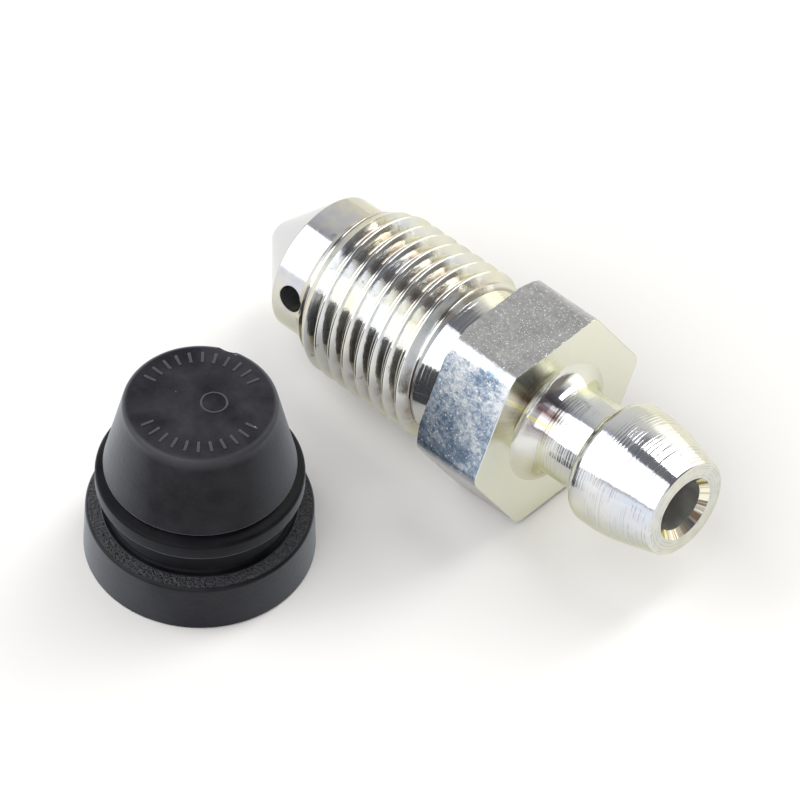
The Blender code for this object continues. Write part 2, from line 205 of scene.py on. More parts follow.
class BleederScrewSizes(bpy.types.PropertyGroup):
    """Sizes along the screw are measured from the hexagon's face on the nipple's side."""

    round_steps: count("Round steps", "Faces round a turned surface", 160, 24)
    hex_across_flats: length("Across flats", "Width of the hexagon bar", 11.0)
    hex_length: length("Hexagon length", "Length left hexagonal", 4.5)
    hex_edge_radius: length("Hexagon edge radius", "Rounded edges of the drawn bar", 0.9)
    hex_face_edge: length("Face edge", "Tiny break on the edge of the nipple's side face", 0.05)
    hex_chamfer_diameter: length("Chamfer diameter", "Where the chamfer meets the thread's side face", 11.7)
    hex_chamfer_angle: turn("Chamfer angle", "Slope of the chamfer on the thread's side", 30)
    nipple_length: length("Nipple length", "From the hexagon to the end face", 9.4)
    neck_diameter: length("Neck diameter", "Neck behind the barrel", 5.2)
    neck_length: length("Neck length", "From the hexagon to the back of the barrel", 3.75)
    neck_fillet: length("Neck fillet", "Radius where the neck meets the hexagon", 1.2)
    barrel_diameter: length("Barrel diameter", "Widest part of the nipple", 7.24)
    barrel_back_angle: turn("Barrel back angle", "Slope of the back of the barrel", 80)
    barrel_back_fillet: length("Barrel back fillet", "Rounding over the back of the barrel", 0.85)
    barrel_root_fillet: length("Barrel root fillet", "Rounding from the neck into the barrel's back", 0.15)
    barrel_front_fillet: length("Barrel front fillet", "Crown of the barrel, where its taper starts", 8.0)
    taper_length: length("Taper length", "Tapered front of the nipple", 3.2)
    nipple_end_diameter: length("End diameter", "Nipple at its end face", 5.6)
    nipple_end_fillet: length("End fillet", "Rounding of the end face", 0.15)
    relief_diameter: length("Relief diameter", "Relief groove, at the thread", 8.6)
    relief_root_diameter: length("Relief root diameter", "Relief groove, at the hexagon", 7.7)
    relief_fillet: length("Relief fillet", "Rounding of the relief into the hexagon", 0.8)
    relief_length: length("Relief length", "From the hexagon to the thread's slope", 2.0)
    relief_slope_length: length("Relief slope", "Sloped end of the thread", 0.5)
    thread_diameter: length("Thread diameter", "Crest of the thread", 9.9)
    thread_length: length("Thread length", "From the relief to the pilot", 8.2)
    thread_pitch: length("Thread pitch", "From crest to crest", 1.0)
    thread_depth: length("Thread depth", "From crest to root", 0.61)
    thread_flank_angle: turn("Flank angle", "Half the angle of the thread's groove", 30)
    thread_crest_width: length("Crest width", "Flat left on the crest", 0.125)
    thread_crest_radius: length("Crest radius", "Rounding of the crest's edges", 0.1)
    thread_root_radius: length("Root radius", "Rounding of the root", 0.12)
    lead_chamfer_length: length("Lead length", "Tapered start of the thread", 1.3)
    lead_chamfer_depth: length("Lead depth", "How much the start is thinner", 0.66)
    pilot_diameter: length("Pilot diameter", "Plain end before the cone", 8.04)
    pilot_length: length("Pilot length", "Length of the plain end", 2.1)
    cone_half_angle: turn("Cone half angle", "Slope of the sealing cone", 45)
    cone_edge_fillet: length("Cone edge fillet", "Rounding where the cone starts", 0.12)
    cone_tip_diameter: length("Cone tip diameter", "Blunt end of the cone", 1.5)
    cone_tip_fillet: length("Cone tip fillet", "Rounding of the blunt end", 0.25)
    bore_diameter: length("Bore diameter", "Drilled passage down the axis", 3.0)
    bore_mouth_diameter: length("Bore mouth diameter", "Countersunk mouth of the bore", 3.76)
    bore_past_cross_hole: length("Bore past hole", "How far the bore passes the cross hole", 0.2)
    drill_half_angle: turn("Drill half angle", "Point of the drill", 59)
    cross_hole_diameter: length("Cross hole diameter", "Hole through the side of the pilot", 1.52)
    cross_hole_setback: length("Cross hole setback", "From the edge of the cone", 1.3)
    cross_hole_edge: length("Cross hole edge", "Countersink of the cross hole", 0.02)
    cross_hole_turn: turn("Cross hole turn", "Round the axis from the upper flat", 75.4)


class DustCapSizes(bpy.types.PropertyGroup):
    """Heights are measured from the cap's foot."""

    round_steps: count("Round steps", "Faces round the cap", 192, 24)
    roof_thickness: length("Roof thickness", "Rubber over the hollow", 1.64)
    top_diameter: length("Top diameter", "Flat top of the cone", 8.2)
    top_fillet: length("Top fillet", "Rounded rim of the top", 0.35)
    lip_diameter: length("Lip diameter", "Foot of the cone", 10.3)
    lip_height: length("Lip height", "Height of the cone's foot", 6.35)
    lip_fillet: length("Lip fillet", "Rounding of the cone's foot", 0.12)
    crevice: length("Crevice", "How far the lip stands over the ring", 0.25)
    ring_diameter: length("Ring diameter", "Rounded ring below the cone", 11.15)
    ring_height: length("Ring height", "Top of the ring", 5.85)
    ring_thickness: length("Ring thickness", "Height of the ring's side", 0.95)
    ring_fillet: length("Ring fillet", "Rounding of the ring", 0.25)
    groove_diameter: length("Groove diameter", "Groove between ring and flange", 9.8)
    groove_fillet: length("Groove fillet", "Rounding in the groove", 0.4)
    flange_height: length("Flange height", "Height of the foot flange", 3.07)
    flange_draft: length("Flange draft", "How much the flange narrows upwards", 0.1)
    flange_fillet: length("Flange fillet", "Rounded upper edge of the flange", 0.25)
    flange_step_diameter: length("Flange step diameter", "Fine step inside the grained band", 10.5)
    flange_step_height: length("Flange step height", "Height of that step", 0.1)
    foot_fillet: length("Foot fillet", "Rounding of the foot", 0.12)
    clearance: length("Clearance", "Between the hollow and the nipple", 0.06)
    mouth_diameter: length("Mouth diameter", "Opening in the foot", 6.1)
    mouth_chamfer: length("Mouth chamfer", "Chamfer of the opening", 0.8)
    notch_width: length("Notch width", "Nick in the rim of the top", 1.2)
    notch_depth: length("Notch depth", "Depth of the nick", 0.4)
    notch_turn: turn("Notch turn", "Where the nick is, round the cap", 114)
    gate_diameter: length("Gate mark diameter", "Round mark left by the mould's gate", 1.38)
    gate_offset: length("Gate offset", "From the cap's axis to the gate mark", 0.72)
    gate_turn: turn("Gate turn", "Where the gate mark is, round the cap", 43)
    gate_wire: length("Gate wire", "Thickness of the gate mark's ridge", 0.11)
    tick_count: count("Ticks", "Plain moulded ticks in each of the two arcs", 11, 2)
    tick_arc: turn("Tick arc", "How far each arc of ticks reaches round the top", 120)
    tick_turn: turn("Tick turn", "Where the middle of the first arc is, round the cap", 133)
    tick_length: length("Tick length", "Length of a tick", 0.72)
    tick_width: length("Tick width", "Width of a tick", 0.15)
    tick_height: length("Tick height", "How far a tick stands up", 0.06)
    tick_circle: length("Tick circle", "Diameter of the circle of ticks", 6.3)


class StudioSettings(bpy.types.PropertyGroup):
    """The camera, floor and lights."""

    view_azimuth: turn("View azimuth", "Round the object, from behind its -Y side", 43.23)
    view_elevation: turn("View elevation", "Above the floor", 48.58)
    view_roll: turn("View roll", "Turn of the picture", 1.46)
    view_distance: length("View distance", "From the camera to the hexagon", 636.7)
    lens: number("Lens", "Focal length in millimetres", 540.0)
    aim: FloatVectorProperty(
        name="Aim", description="Where the hexagon's face centre is in the 800 pixel picture", size=2,
        default=(556.57, 421.3)
    )
    floor_colour: colour("Floor", "Colour of the floor", (0.74, 0.73, 0.712))
    floor_lift: share("Floor lift", "White added to the floor that the camera and reflections see", 0.02)
    right_light: number("Right light", "Radiance of the light at the back right", 5.6)
    left_light: number("Left light", "Radiance of the light at the front left", 1.5)
    upper_light: number("Upper light", "Radiance of the dimmer light above the left one", 0.98)
    end_light: number("End light", "Radiance of the light beyond the thread's end", 2.6)


def select_only(obj):
    bpy.ops.object.select_all(action="DESELECT")
    obj.hide_set(False)
    obj.select_set(True)
    bpy.context.view_layer.objects.active = obj


def added(operator, **settings):
    """Adds a primitive as the only selected object."""
    bpy.ops.object.select_all(action="DESELECT")
    operator(**settings)
    return bpy.context.object


def apply_place():
    """Puts the selected object's place, turn and scale into its mesh."""
    bpy.ops.object.transform_apply(location=True, rotation=True, scale=True)


def edit(obj, select_mode="VERT", action="SELECT"):
    select_only(obj)
    bpy.ops.object.mode_set(mode="EDIT")
    bpy.ops.mesh.select_mode(type=select_mode)
    bpy.ops.mesh.select_all(action=action)


def leave_edit():
    bpy.ops.object.mode_set(mode="OBJECT")


def rounded_outline(corners, arc_steps=ARC_STEPS):
    """The points of an outline given as (radius, height, fillet) corners, with each fillet as an arc."""
    points = []
    for index, (radius, height, fillet) in enumerate(corners):
        corner = Vector((radius, height))
        if not fillet:
            points.append(corner)
            continue
        back = (Vector(corners[index - 1][:2]) - corner).normalized()
        onward = (Vector(corners[index + 1][:2]) - corner).normalized()
        half_angle = back.angle(onward) / 2
        reach = fillet / math.tan(half_angle)
        centre = corner + (back + onward).normalized() * fillet / math.sin(half_angle)
        start = (corner + back * reach - centre).normalized()
        end = (corner + onward * reach - centre).normalized()
        for step in range(arc_steps + 1):
            points.append(centre + fillet * start.slerp(end, step / arc_steps))
    return points


def trace(name, outline):
    """Draws an outline of (radius, height) points in the XZ plane by extruding one vertex along it."""
    places = [Vector((radius, 0.0, height)) for radius, height in outline]
    obj = added(bpy.ops.mesh.primitive_plane_add, size=MM)
    obj.name = obj.data.name = name
    edit(obj)
    bpy.ops.mesh.merge(type="CENTER")
    bpy.ops.transform.translate(value=places[0])
    for start, end in zip(places, places[1:]):
        bpy.ops.mesh.extrude_vertices_move(TRANSFORM_OT_translate={"value": end - start})
    leave_edit()
    return obj


def spun(name, corners, steps):
    """A turned solid about Z: its outline spun once round and closed."""
    obj = trace(name, rounded_outline(corners))
    edit(obj)
    bpy.ops.mesh.spin(steps=steps, angle=FULL_TURN, center=(0, 0, 0), axis=(0, 0, 1))
    bpy.ops.mesh.select_all(action="SELECT")
    bpy.ops.mesh.remove_doubles(threshold=MERGE)
    bpy.ops.mesh.normals_make_consistent(inside=False)
    leave_edit()
    return obj


def combine(obj, other, operation):
    """Joins, cuts or meets obj with other, and removes other."""
    select_only(obj)
    modifier = obj.modifiers.new(operation.title(), "BOOLEAN")
    modifier.operation = operation
    modifier.solver = "MANIFOLD"
    modifier.object = other
    bpy.ops.object.modifier_apply(modifier=modifier.name)
    bpy.data.objects.remove(other, do_unlink=True)
    return obj


def screw_heights(size):
    """The heights on the screw's axis that more than one of its features needs."""
    heights = {"hex_back": -size.hex_length}
    heights["relief_end"] = heights["hex_back"] - size.relief_length
    heights["thread_top"] = heights["relief_end"] - size.relief_slope_length
    heights["thread_end"] = heights["thread_top"] - size.thread_length
    heights["full_crest"] = heights["thread_end"] + size.lead_chamfer_length
    heights["cone_edge"] = heights["thread_end"] - size.pilot_length
    cone_length = (size.pilot_diameter - size.cone_tip_diameter) / 2 / math.tan(size.cone_half_angle)
    heights["cone_tip"] = heights["cone_edge"] - cone_length
    heights["cross_hole"] = heights["cone_edge"] + size.cross_hole_setback
    return heights


def turned_body(size, at):
    """Nipple, neck, relief, pilot and cone, on a core that runs through the hexagon and the thread."""
    neck, barrel = size.neck_diameter / 2, size.barrel_diameter / 2
    relief, relief_root = size.relief_diameter / 2, size.relief_root_diameter / 2
    pilot = size.pilot_diameter / 2
    barrel_back = size.neck_length + (barrel - neck) / math.tan(size.barrel_back_angle)
    fillet_end = neck + size.neck_fillet + SINK
    relief_fillet_end = relief_root + FILLET_ROOM * size.relief_fillet
    corners = [
        (0, size.nipple_length, 0),
        (size.nipple_end_diameter / 2, size.nipple_length, size.nipple_end_fillet),
        (barrel, size.nipple_length - size.taper_length, size.barrel_front_fillet),
        (barrel, barrel_back, size.barrel_back_fillet),
        (neck, size.neck_length, size.barrel_root_fillet),
        (neck, -SINK, size.neck_fillet),
        (fillet_end, -SINK, 0),
        (fillet_end, at["hex_back"] / 2, 0),
        (relief_fillet_end, at["hex_back"] / 2, 0),
        (relief_fillet_end, at["hex_back"] + SINK, 0),
        (relief_root, at["hex_back"] + SINK, size.relief_fillet),
        (relief, at["relief_end"], 0),
        (relief, at["thread_top"], 0),
        (pilot, at["thread_top"] - CUT_CLEAR, 0),
        (pilot, at["cone_edge"], size.cone_edge_fillet),
        (size.cone_tip_diameter / 2, at["cone_tip"], size.cone_tip_fillet),
        (0, at["cone_tip"], 0),
    ]
    return spun("plated_screw", corners, size.round_steps)


def hexagon(size, at):
    """The bar's stretch, flats facing X, with rounded edges and a turned chamfer on the thread's side."""
    corner_radius = size.hex_across_flats / 2 / math.cos(TWELFTH_TURN)
    bar = added(
        bpy.ops.mesh.primitive_cylinder_add,
        vertices=6,
        radius=corner_radius,
        depth=size.hex_length,
        location=(0, 0, at["hex_back"] / 2),
        rotation=(0, 0, 0),
    )
    bar.name = "hexagon"
    apply_place()
    select_edges(bar, lambda a, b: abs(a.z - b.z) > size.hex_length / 2)
    bpy.ops.mesh.bevel(offset=size.hex_edge_radius * math.tan(TWELFTH_TURN), segments=ARC_STEPS, profile=0.5)
    leave_edit()
    select_edges(bar, lambda a, b: min(a.z, b.z) > -MERGE)
    bpy.ops.mesh.bevel(offset=size.hex_face_edge, segments=FINE_STEPS, profile=0.5)
    leave_edit()
    wide = corner_radius + CUT_CLEAR
    face_radius, slope = size.hex_chamfer_diameter / 2, math.tan(size.hex_chamfer_angle)
    gauge = [
        (0, CUT_CLEAR, 0),
        (wide, CUT_CLEAR, 0),
        (wide, at["hex_back"] + (wide - face_radius) * slope, 0),
        (face_radius - CUT_CLEAR, at["hex_back"] - CUT_CLEAR * slope, 0),
        (0, at["hex_back"] - CUT_CLEAR * slope, 0),
    ]
    return combine(bar, spun("chamfer_gauge", gauge, size.round_steps), "INTERSECT")


def select_edges(obj, wanted):
    """Selects the edges whose two ends pass the test, and stays in edit mode."""
    edit(obj, "EDGE", "DESELECT")
    leave_edit()
    points = obj.data.vertices
    for edge in obj.data.edges:
        edge.select = wanted(*(points[index].co for index in edge.vertices))
    bpy.ops.object.mode_set(mode="EDIT")


def thread(size, at):
    """The right-hand thread: one pitch of its outline swept up the helix, cut square, and turned to its ends.

    A crest lies straight down at the first full turn, where the screw rests on the floor.
    """
    crest, root = size.thread_diameter / 2, size.thread_diameter / 2 - size.thread_depth
    half_crest, half_pitch = size.thread_crest_width / 2, size.thread_pitch / 2
    half_root = half_pitch - half_crest - size.thread_depth * math.tan(size.thread_flank_angle)
    root_radius = min(size.thread_root_radius, half_root * ROOT_ARC_LIMIT)
    outline = [
        (root, half_pitch, 0),
        (root, half_pitch - half_root, root_radius),
        (crest, half_crest, size.thread_crest_radius),
        (crest, -half_crest, size.thread_crest_radius),
        (root, half_root - half_pitch, root_radius),
        (root, -half_pitch, 0),
    ]
    start = at["full_crest"] - LEAD_IN_TURNS * size.thread_pitch
    turns = math.ceil((at["relief_end"] - start) / size.thread_pitch) + SPARE_TURNS
    bar = trace("thread", [(r, start + z) for r, z in rounded_outline(outline, FINE_STEPS)])
    sweep = bar.modifiers.new("Sweep", "SCREW")
    sweep.steps = sweep.render_steps = size.round_steps
    sweep.iterations = turns
    sweep.screw_offset = size.thread_pitch
    sweep.use_merge_vertices = False
    select_only(bar)
    bpy.ops.object.modifier_apply(modifier=sweep.name)
    edit(bar)
    bpy.ops.mesh.remove_doubles(threshold=MERGE)
    low, high = at["thread_end"] - CUT_CLEAR / 2, at["relief_end"] + CUT_CLEAR / 2
    for height, side in ((low, -1), (high, 1)):
        bpy.ops.mesh.select_all(action="SELECT")
        bpy.ops.mesh.bisect(
            plane_co=(0, 0, height), plane_no=(0, 0, side), use_fill=True, clear_outer=True, threshold=MERGE
        )
    bpy.ops.mesh.select_all(action="SELECT")
    bpy.ops.mesh.normals_make_consistent(inside=False)
    leave_edit()
    relief = size.relief_diameter / 2
    slope = (crest - relief) / size.relief_slope_length
    wide = crest + SINK
    envelope = [
        (0, at["relief_end"] + SINK / slope, 0),
        (relief - SINK, at["relief_end"] + SINK / slope, 0),
        (wide, at["thread_top"] - SINK / slope, 0),
        (wide, at["full_crest"] + SINK * size.lead_chamfer_length / size.lead_chamfer_depth, 0),
        (crest - size.lead_chamfer_depth, at["thread_end"], 0),
        (0, at["thread_end"], 0),
    ]
    return combine(bar, spun("thread_ends", envelope, size.round_steps), "INTERSECT")


def bore(size, at):
    """The cutter for the axial passage, from its countersunk mouth to the drill's point."""
    radius, mouth = size.bore_diameter / 2, size.bore_mouth_diameter / 2
    bottom = at["cross_hole"] - size.cross_hole_diameter / 2 - size.bore_past_cross_hole
    corners = [
        (0, size.nipple_length + CUT_CLEAR, 0),
        (mouth + CUT_CLEAR, size.nipple_length + CUT_CLEAR, 0),
        (radius, size.nipple_length - (mouth - radius), 0),
        (radius, bottom, 0),
        (0, bottom - radius / math.tan(size.drill_half_angle), 0),
    ]
    return spun("bore", corners, size.round_steps)


def cross_hole(size, at):
    """The cutter for the hole through the side of the pilot, with its edge lightly countersunk."""
    radius, surface = size.cross_hole_diameter / 2, size.pilot_diameter / 2
    corners = [
        (0, surface + CUT_CLEAR, 0),
        (radius + CUT_CLEAR + size.cross_hole_edge, surface + CUT_CLEAR, 0),
        (radius, surface - size.cross_hole_edge, 0),
        (radius, 0, 0),
        (0, 0, 0),
    ]
    cutter = spun("cross_hole", corners, HOLE_STEPS)
    select_only(cutter)
    cutter.matrix_world = (
        Matrix.Translation((0, 0, at["cross_hole"]))
        @ Matrix.Rotation(HALF_TURN + size.cross_hole_turn, 4, "Z")
        @ Matrix.Rotation(QUARTER_TURN, 4, "Y")
    )
    apply_place()
    return cutter


def screw_place(size, at):
    """From the screw's own upright frame to where it lies, on a flat and on its first full crest."""
    apothem = size.hex_across_flats / 2
    tilt = math.atan((apothem - size.thread_diameter / 2) / (at["hex_back"] - at["full_crest"]))
    end_arc = Vector((
        size.nipple_length - size.nipple_end_fillet,
        size.nipple_end_diameter / 2 - size.nipple_end_fillet,
    ))
    reach = end_arc.x * math.cos(tilt) + end_arc.y * math.sin(tilt) + size.nipple_end_fillet
    place = Vector((
        SCREW_HIGH.x - reach,
        (SCREW_LOW.y + SCREW_HIGH.y) / 2,
        apothem * math.cos(tilt) - at["hex_back"] * math.sin(tilt),
    ))
    return Matrix.Translation(place) @ Matrix.Rotation(QUARTER_TURN - tilt, 4, "Y")


def finish_piece(obj, place, materials, material_of):
    """Shades the piece, gives each face its material, and carries the mesh to its place."""
    edit(obj)
    bpy.ops.mesh.remove_doubles(threshold=MERGE)
    leave_edit()
    bpy.ops.object.shade_smooth_by_angle(angle=SHARP_ANGLE)
    obj.data.materials.clear()
    for material in materials:
        obj.data.materials.append(material)
    for face in obj.data.polygons:
        face.material_index = material_of(face.center, face.normal)
    weighted = obj.modifiers.new("Weighted normals", "WEIGHTED_NORMAL")
    weighted.keep_sharp = True
    bpy.ops.object.modifier_apply(modifier=weighted.name)
    obj.matrix_world = place
    apply_place()


def wire(made, inputs):
    """Feeds a node's inputs. Each is a socket to link from, or a value to set."""
    for key, value in inputs.items():
        if isinstance(value, bpy.types.NodeSocket):
            made.id_data.links.new(value, made.inputs[key])
        else:
            made.inputs[key].default_value = value


def node(kind, inputs, **settings):
    """Adds a node to the tree that its input sockets belong to."""
    tree = next(value.id_data for value in inputs.values() if isinstance(value, bpy.types.NodeSocket))
    made = tree.nodes.new(kind)
    for key, value in settings.items():
        setattr(made, key, value)
    wire(made, inputs)
    return made


def maths(operation, *values):
    return node("ShaderNodeMath", dict(enumerate(values)), operation=operation).outputs[0]


def times(first, *others):
    """The product of a socket and other sockets or numbers."""
    for other in others:
        first = maths("MULTIPLY", first, other)
    return first


def noise(place, scale, detail=2.0, roughness=0.5, **settings):
    key = "W" if settings.get("noise_dimensions") == "1D" else "Vector"
    inputs = {key: place, "Scale": scale, "Detail": detail, "Roughness": roughness}
    return node("ShaderNodeTexNoise", inputs, **settings).outputs["Fac"]


def remap(value, low, high, to_low=0.0, to_high=1.0):
    inputs = {"Value": value, "From Min": low, "From Max": high, "To Min": to_low, "To Max": to_high}
    return node("ShaderNodeMapRange", inputs).outputs["Result"]


def fade(place, start, end, at_start=0.0, at_end=1.0):
    """A value that changes from one place on an axis to another, both given in millimetres."""
    return remap(place, start * MM, end * MM, at_start, at_end)


def ramp(value, stops):
    """A colour ramp from (position, colour) stops."""
    made = node("ShaderNodeValToRGB", {"Fac": value})
    elements = made.color_ramp.elements
    while len(elements) < len(stops):
        elements.new(0.5)
    for element, (position, rgb) in zip(elements, stops):
        element.position = position
        element.color = (*rgb, 1.0)
    return made.outputs["Color"]


def mix_colour(factor, first, second, blend_type="MIX"):
    inputs = {0: factor, 6: first, 7: second}
    return node("ShaderNodeMix", inputs, data_type="RGBA", blend_type=blend_type).outputs[2]


def split(vector):
    """The X, Y and Z of a vector."""
    return node("ShaderNodeSeparateXYZ", {0: vector}).outputs


def axis_distance(position):
    """How far a place is from the piece's axis."""
    across, beside, _ = split(position)
    return maths("SQRT", maths("MULTIPLY_ADD", across, across, times(beside, beside)))


def outward(position):
    """The direction from the piece's axis to a place."""
    flat = node("ShaderNodeVectorMath", {0: position, 1: (1, 1, 0)}, operation="MULTIPLY").outputs[0]
    return node("ShaderNodeVectorMath", {0: flat}, operation="NORMALIZE").outputs[0]


def specks(position, cells_per_metre, bare_share, reach, soft_edge):
    """A mask of small round specks, which some cells of an uneven grid have and the others lack."""
    cells = node("ShaderNodeTexVoronoi", {"Vector": position, "Scale": cells_per_metre}).outputs
    pick = node("ShaderNodeSeparateColor", {0: cells["Color"]}).outputs[0]
    inside = maths("SUBTRACT", remap(pick, bare_share, 1.0, 0.0, reach), cells["Distance"])
    return remap(inside, 0.0, soft_edge)


def bump(height, distance):
    """The normal that a height gives, in which 1 stands for that distance in metres."""
    return node("ShaderNodeBump", {"Height": height, "Distance": distance, "Strength": 1.0}).outputs[0]


def new_group(name, values, outputs):
    """A node group that takes a position and named values. It comes as its input sockets and output node."""
    tree = bpy.data.node_groups.new(name, "ShaderNodeTree")
    tree.interface.new_socket(name="Position", in_out="INPUT", socket_type="NodeSocketVector")
    for label, default in values.items():
        socket = tree.interface.new_socket(name=label, in_out="INPUT", socket_type=VALUE)
        socket.default_value = default
    for label, kind in outputs.items():
        tree.interface.new_socket(name=label, in_out="OUTPUT", socket_type=kind)
    return tree.nodes.new("NodeGroupInput").outputs, tree.nodes.new("NodeGroupOutput")


def use_group(name, build, position, **values):
    """Places the node group of that name, which is built the first time that it is asked for."""
    made = position.id_data.nodes.new("ShaderNodeGroup")
    made.node_tree = bpy.data.node_groups.get(name) or build(name)
    wire(made, {"Position": position, **{key.replace("_", " "): value for key, value in values.items()}})
    return made.outputs


def new_material(name, place, **constants):
    """A material, its shader with these constants set, and the position in the piece's own upright frame."""
    material = bpy.data.materials.new(name)
    material.use_nodes = True
    nodes = material.node_tree.nodes
    shader = nodes["Principled BSDF"]
    wire(shader, {key.replace("_", " "): value for key, value in constants.items()})
    inputs = {
        "Vector": nodes.new("ShaderNodeTexCoord").outputs["Object"],
        "Location": place.to_translation(),
        "Rotation": place.to_euler(),
    }
    return material, shader, node("ShaderNodeMapping", inputs, vector_type="TEXTURE").outputs[0]


def turning_marks(name):
    """The rings that a lathe tool leaves: its even feed, with finer scratches between.

    They follow the axis on a side and the radius on a face.
    """
    given, out = new_group(
        name, {"Feed per metre": 5600.0, "Fine per metre": 14000.0, "Wander": 0.04 * MM},
        {"Height": VALUE, "Streak": VALUE},
    )
    position = given["Position"]
    along = maths("ADD", split(position)[2], axis_distance(position))
    along = maths("ADD", along, times(noise(position, 900.0), given["Wander"]))
    feed = times(along, given["Feed per metre"])
    scallop = maths("ABSOLUTE", maths("SINE", times(feed, HALF_TURN)))
    uneven = noise(feed, 1.3, 3.0, noise_dimensions="1D")
    fine = noise(times(along, given["Fine per metre"]), 1.0, 1.0, noise_dimensions="1D")
    height = maths("MULTIPLY_ADD", scallop, 0.3, maths("MULTIPLY_ADD", fine, 0.35, uneven))
    strength = remap(noise(position, 500.0), 0.35, 0.65, 0.35, 1.0)
    wire(out, {"Height": times(height, strength), "Streak": remap(fine, 0.3, 0.7)})
    return out.id_data


def plating_tint(name):
    """The faint blue, green and yellow of the passivated zinc, with small stains."""
    given, out = new_group(name, {"Patches per metre": 160.0}, {"Color": COLOUR, "Stain": VALUE})
    position = given["Position"]
    tint = ramp(noise(position, given["Patches per metre"], 3.0, 0.55), [
        (0.34, (0.66, 0.69, 0.75)),
        (0.46, (0.71, 0.72, 0.72)),
        (0.58, (0.73, 0.73, 0.70)),
        (0.70, (0.71, 0.69, 0.60)),
    ])
    wire(out, {"Color": tint, "Stain": remap(noise(position, 1400.0, 3.0, 0.6), 0.66, 0.74)})
    return out.id_data


def drawn_skin(name):
    """The mottled skin of plated bar: blotches, a fine grain and small bright crystals."""
    given, out = new_group(name, {}, {"Blotch": VALUE, "Sparkle": VALUE, "Height": VALUE})
    position = given["Position"]
    wide_blotch = times(noise(position, 700.0, 3.0), 0.4)
    blotch = maths("MULTIPLY_ADD", noise(position, 3600.0, 4.0, 0.75), 0.6, wide_blotch)
    sparkle = specks(position, 7500.0, 0.45, 0.34, 0.08)
    height = maths("MULTIPLY_ADD", sparkle, 0.4, noise(position, 8000.0, 3.0, 0.6))
    wire(out, {"Blotch": blotch, "Sparkle": sparkle, "Height": height})
    return out.id_data


def moulded_rubber(name):
    """Moulded rubber: a fine grain, faint handling marks and dust."""
    outputs = {"Height": VALUE, "Bloom": VALUE, "Dust": VALUE}
    given, out = new_group(name, {"Grain per metre": 6000.0}, outputs)
    position = given["Position"]
    wire(out, {
        "Height": noise(position, given["Grain per metre"], 3.0, 0.6),
        "Bloom": remap(noise(position, 450.0, 5.0, 0.6), 0.35, 0.7),
        "Dust": specks(position, 900.0, 0.5, 0.06, 0.02),
    })
    return out.id_data


def corner_reflections(name):
    """Painted reflections: dark runs, and a painted yellow highlight beside them, towards the corner between
    the two shown flats.
    """
    given, out = new_group(name, {}, {"Runs": VALUE, "Highlight": VALUE})
    direction = outward(given["Position"])
    inputs = {0: direction, 1: SHOWN_CORNER}
    near = remap(node("ShaderNodeVectorMath", inputs, operation="DOT_PRODUCT").outputs["Value"], 0.84, 0.98)
    patches = noise(direction, 5.0, 3.0, 0.6)
    wire(out, {
        "Runs": times(remap(patches, 0.40, 0.60, 0.35, 1.0), times(near, 0.95)),
        "Highlight": times(remap(patches, 0.42, 0.36), near),
    })
    return out.id_data


def film_and_floor_reflection(colour_under):
    """Tints a colour as the plating's thin film does: bluish seen straight on, and yellow seen at a slant,
    where its darker yellow is also a painted reflection of the warm, shaded floor.
    """
    slant = colour_under.id_data.nodes.new("ShaderNodeLayerWeight").outputs["Facing"]
    tint = ramp(slant, [
        (0.05, (0.95, 0.97, 1.0)),
        (0.30, (0.99, 0.99, 0.98)),
        (0.50, (1.0, 0.99, 0.87)),
        # Painted reflection: darker and yellower at a steep slant, as the shaded floor looks in the zinc
        (0.78, (0.90, 0.88, 0.60)),
    ])
    return mix_colour(1.0, colour_under, tint, "MULTIPLY")


def turned_plate(place):
    """Bright zinc on lathe-turned steel, with painted dark reflections and a painted yellow highlight at the
    neck's root, and smoothest on the pilot and the cone.
    """
    material, shader, position = new_material("turned_plate", place, Metallic=0.94)
    marks = use_group("Turning marks", turning_marks, position)
    plating = use_group("Plating tint", plating_tint, position)
    painted_reflections = use_group("Corner reflections", corner_reflections, position)
    height = split(position)[2]
    mottle = noise(position, 1500.0, 3.0)
    zinc = mix_colour(times(plating["Stain"], 0.35), plating["Color"], BROWN_STAIN)
    # Painted reflections: dark runs and a yellow highlight round the neck's root, towards the shown corner
    root = times(fade(height, *NECK_ROOT_START), fade(height, *NECK_ROOT_END))
    zinc = mix_colour(times(root, painted_reflections["Runs"]), zinc, ROOT_DARK_REFLECTION)
    zinc = mix_colour(times(root, painted_reflections["Highlight"]), zinc, ROOT_HIGHLIGHT)
    pilot = ramp(mottle, [(0.38, (0.83, 0.83, 0.91)), (0.62, (0.93, 0.90, 0.84))])
    zinc = mix_colour(fade(height, *PILOT_EDGE), zinc, pilot, "MULTIPLY")
    streaks = times(remap(marks["Streak"], 0.45, 0.9, 0.0, 0.6), remap(mottle, 0.42, 0.55))
    zinc = mix_colour(times(streaks, fade(height, *BARREL_EDGE)), zinc, BARREL_STREAK)
    worked = times(
        fade(height, *PILOT_EDGE, 1.0, 0.35),
        fade(height, *RELIEF_EDGE, 0.7, 1.0),
        fade(height, *BARREL_EDGE, 1.0, 1.25),
    )
    wire(shader, {
        "Base Color": mix_colour(fade(height, *CONE_EDGE), film_and_floor_reflection(zinc), CONE_GREY),
        "Roughness": remap(marks["Streak"], 0, 1, 0.06, 0.14),
        "Normal": bump(maths("MULTIPLY_ADD", marks["Height"], worked, times(mottle, 0.8)), 1.2e-5),
    })
    return material


